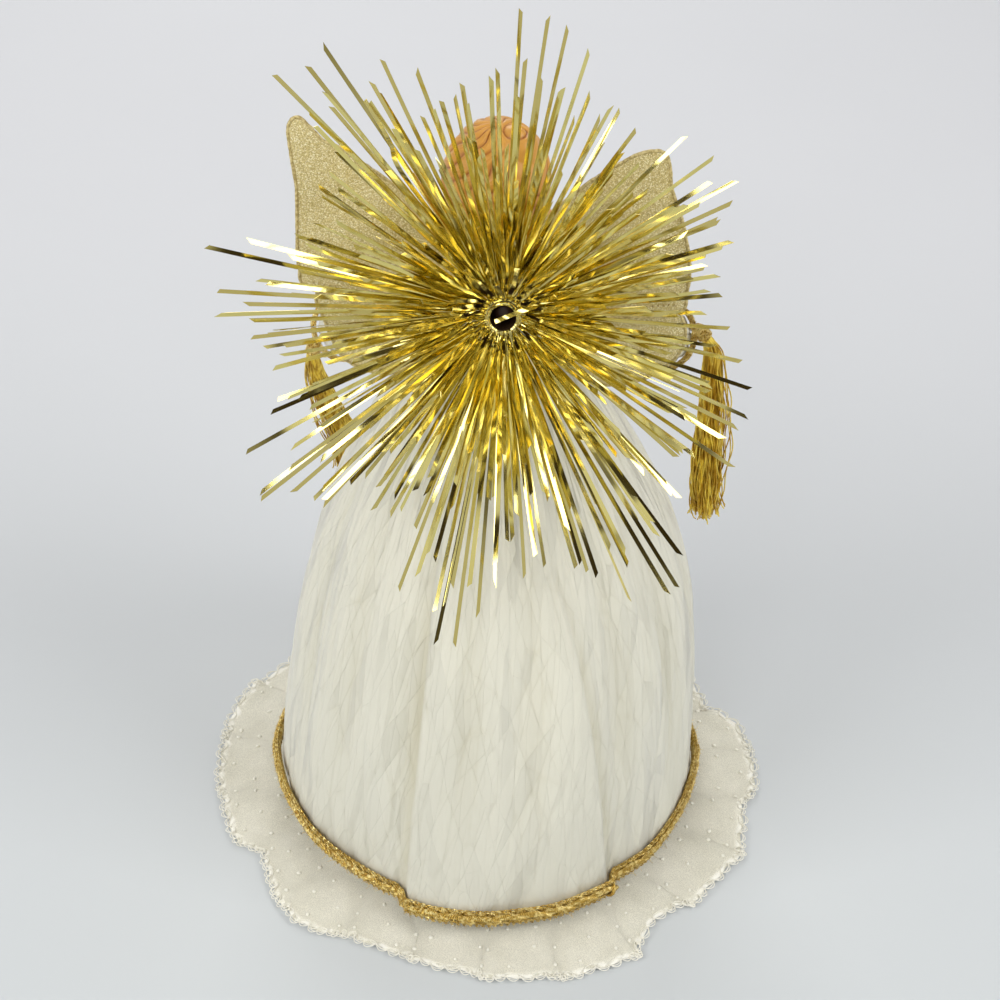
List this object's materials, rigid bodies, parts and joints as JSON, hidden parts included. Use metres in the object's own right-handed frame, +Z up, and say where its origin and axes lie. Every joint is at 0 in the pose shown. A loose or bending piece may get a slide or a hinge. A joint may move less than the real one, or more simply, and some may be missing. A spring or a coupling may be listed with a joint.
{
  "type": "light-up angel tree topper",
  "caption": "Light-up angel figure for a tree top or shelf: pleated satin gown on a hollow cone, lace hem, net wings and a burst of gold foil strips behind the head.",
  "frame": {"origin": "on the floor, on the axis of the cone that a tree's tip goes up into", "axes": "+Z up, -Y the way the angel faces, +X the angel's left"},
  "size_m": [0.2231, 0.2388, 0.357],
  "materials": {
    "satin": "cream crinkled satin",
    "gold_braid": "metallic gold gimp braid",
    "petticoat_net": "stiff cream net",
    "lace": "sheer cream dotted net with a lace edge",
    "card_board": "white lined card",
    "lamp_bulb": "warm clear bulb",
    "lead_sheath": "pale flexible sheath",
    "white_plastic": "moulded, unpainted",
    "switch_plastic": "moulded",
    "slider_plastic": "moulded",
    "doll_skin": "painted satin skin tone",
    "doll_hair": "moulded ginger gold",
    "steel_wire": "drawn wire",
    "edge_wire": "dark gold wrapped wire",
    "glitter_net": "gold glitter on sheer net",
    "gold_thread": "metallic gold thread",
    "burst_foil": "mirror gold foil",
    "screw_steel": "bright zinc",
    "black_plastic": "fine moulded texture",
    "cell_jacket": "plain grey jacket, no print",
    "contact_steel": "nickel plated"
  },
  "bodies": {
    "root": {"gown": "satin", "bodice": "satin", "sleeve_left": "satin", "sleeve_right": "satin", "hem_braid": "gold_braid", "neck_braid": "gold_braid", "cuff_braid_left": "gold_braid", "cuff_braid_right": "gold_braid", "petticoat": "petticoat_net", "lace_flounce": "lace", "tree_cone": "card_board", "deck": "card_board", "lamp_1": "lamp_bulb", "lamp_2": "lamp_bulb", "lamp_3": "lamp_bulb", "lamp_4": "lamp_bulb", "burst_lamp": "lamp_bulb", "lamp_lead_ring": "lead_sheath", "burst_lead": "lead_sheath", "torso": "white_plastic", "switch_body": "switch_plastic", "head": "doll_skin", "hand_left": "doll_skin", "hand_right": "doll_skin", "hair": "doll_hair", "arm_wire": "steel_wire", "wing_wire_upper_left": "edge_wire", "wing_wire_lower_left": "edge_wire", "wing_wire_upper_right": "edge_wire", "wing_wire_lower_right": "edge_wire", "wing_bridge": "steel_wire", "wing_net_upper_left": "glitter_net", "wing_net_lower_left": "glitter_net", "wing_net_upper_right": "glitter_net", "wing_net_lower_right": "glitter_net", "burst_hub": "burst_foil", "burst_strips_1": "burst_foil", "burst_strips_2": "burst_foil", "burst_strips_3": "burst_foil", "burst_stem": "steel_wire", "deck_screw_1": "screw_steel", "deck_screw_2": "screw_steel", "battery_box": "black_plastic", "battery_1": "cell_jacket", "battery_2": "cell_jacket", "contact_spring": "contact_steel", "contact_tab": "contact_steel", "contact_link": "contact_steel"},
    "battery_cover": {"battery_cover": "black_plastic"},
    "switch_slider": {"switch_slider": "slider_plastic"},
    "tassel_left": {"tassel_head_left": "gold_braid", "tassel_threads_left": "gold_thread"},
    "tassel_right": {"tassel_head_right": "gold_braid", "tassel_threads_right": "gold_thread"}
  },
  "joints": [
    {"name": "battery_cover_slide", "type": "slide", "parent": "root", "child": "battery_cover", "axis": [0, 0, -1], "range_m": [0, 0.024]},
    {"name": "switch_slide", "type": "slide", "parent": "root", "child": "switch_slider", "axis": [1, 0, 0], "range_m": [0, 0.005]},
    {"name": "tassel_left_swing", "type": "hinge", "parent": "root", "child": "tassel_left", "pos_m": [0.07063, -0.03099, 0.1959], "axis": [-0.3624, -0.932, 0], "range_deg": [0, 30]},
    {"name": "tassel_right_swing", "type": "hinge", "parent": "root", "child": "tassel_right", "pos_m": [-0.07705, -0.02356, 0.21343], "axis": [-0.9712, -0.2381, 0], "range_deg": [-25, 25]}
  ]
}
